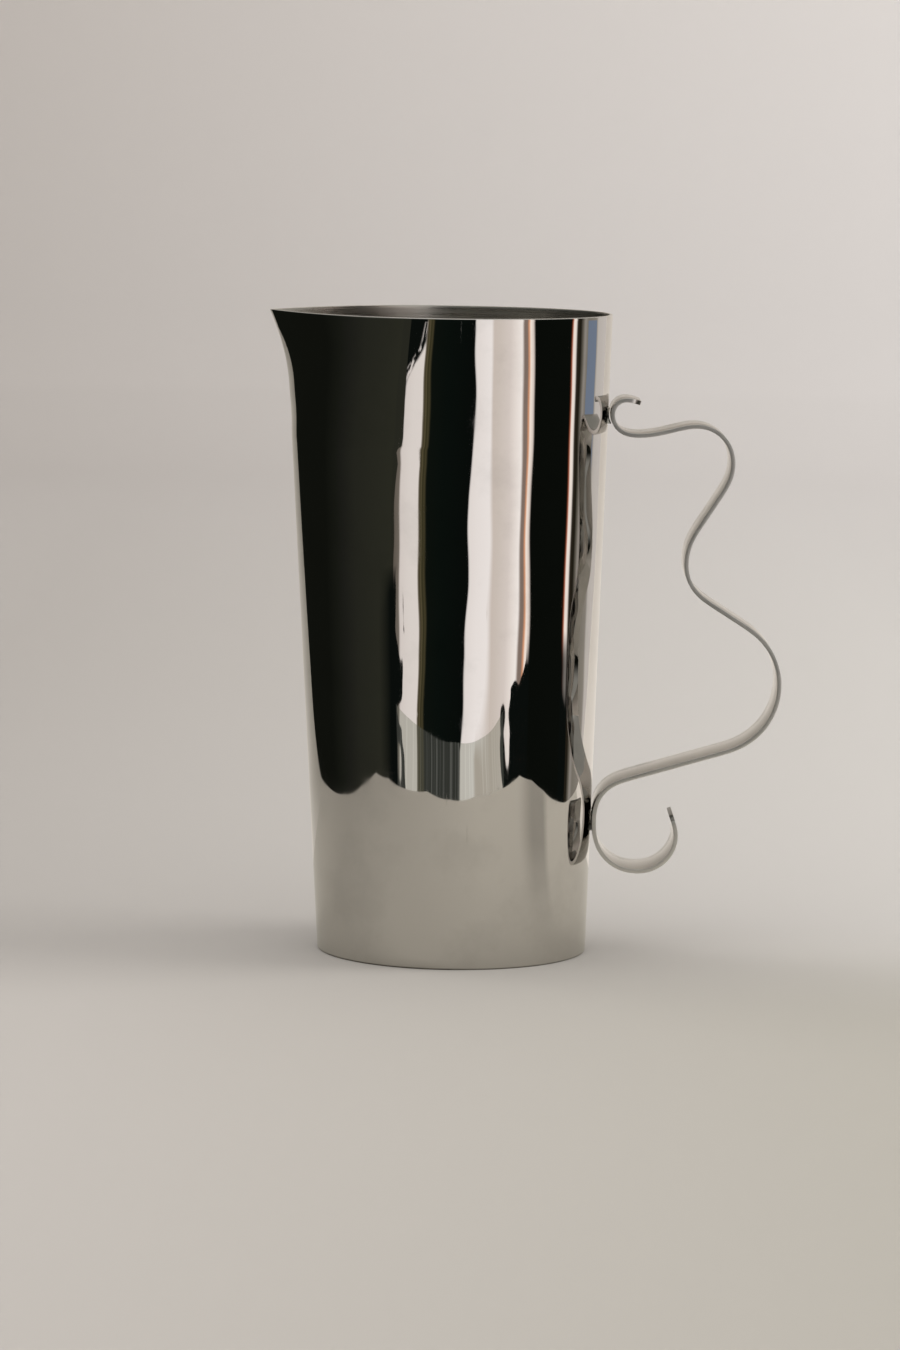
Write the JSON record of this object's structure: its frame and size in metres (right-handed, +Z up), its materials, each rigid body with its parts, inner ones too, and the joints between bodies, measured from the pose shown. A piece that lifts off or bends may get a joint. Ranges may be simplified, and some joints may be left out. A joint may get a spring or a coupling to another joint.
{
  "type": "water pitcher",
  "caption": "Tapered sheet metal water pitcher with a small drawn pouring lip and a scrolled flat strip handle.",
  "frame": {"origin": "centre of the foot, on the surface it stands on", "axes": "+Z up, +X towards the handle, -X towards the pouring lip"},
  "size_m": [0.1851, 0.117, 0.23],
  "materials": {
    "polished_silver": "mirror polished outside, brushed inside",
    "handle_silver": "polished",
    "silver_solder": "dressed and polished with the body"
  },
  "bodies": {
    "root": {"body_wall": "polished_silver", "body_seam_weld": "silver_solder", "base_plate": "polished_silver", "base_weld": "silver_solder", "handle_strip": "handle_silver", "upper_braze": "silver_solder", "lower_braze": "silver_solder"}
  },
  "joints": []
}
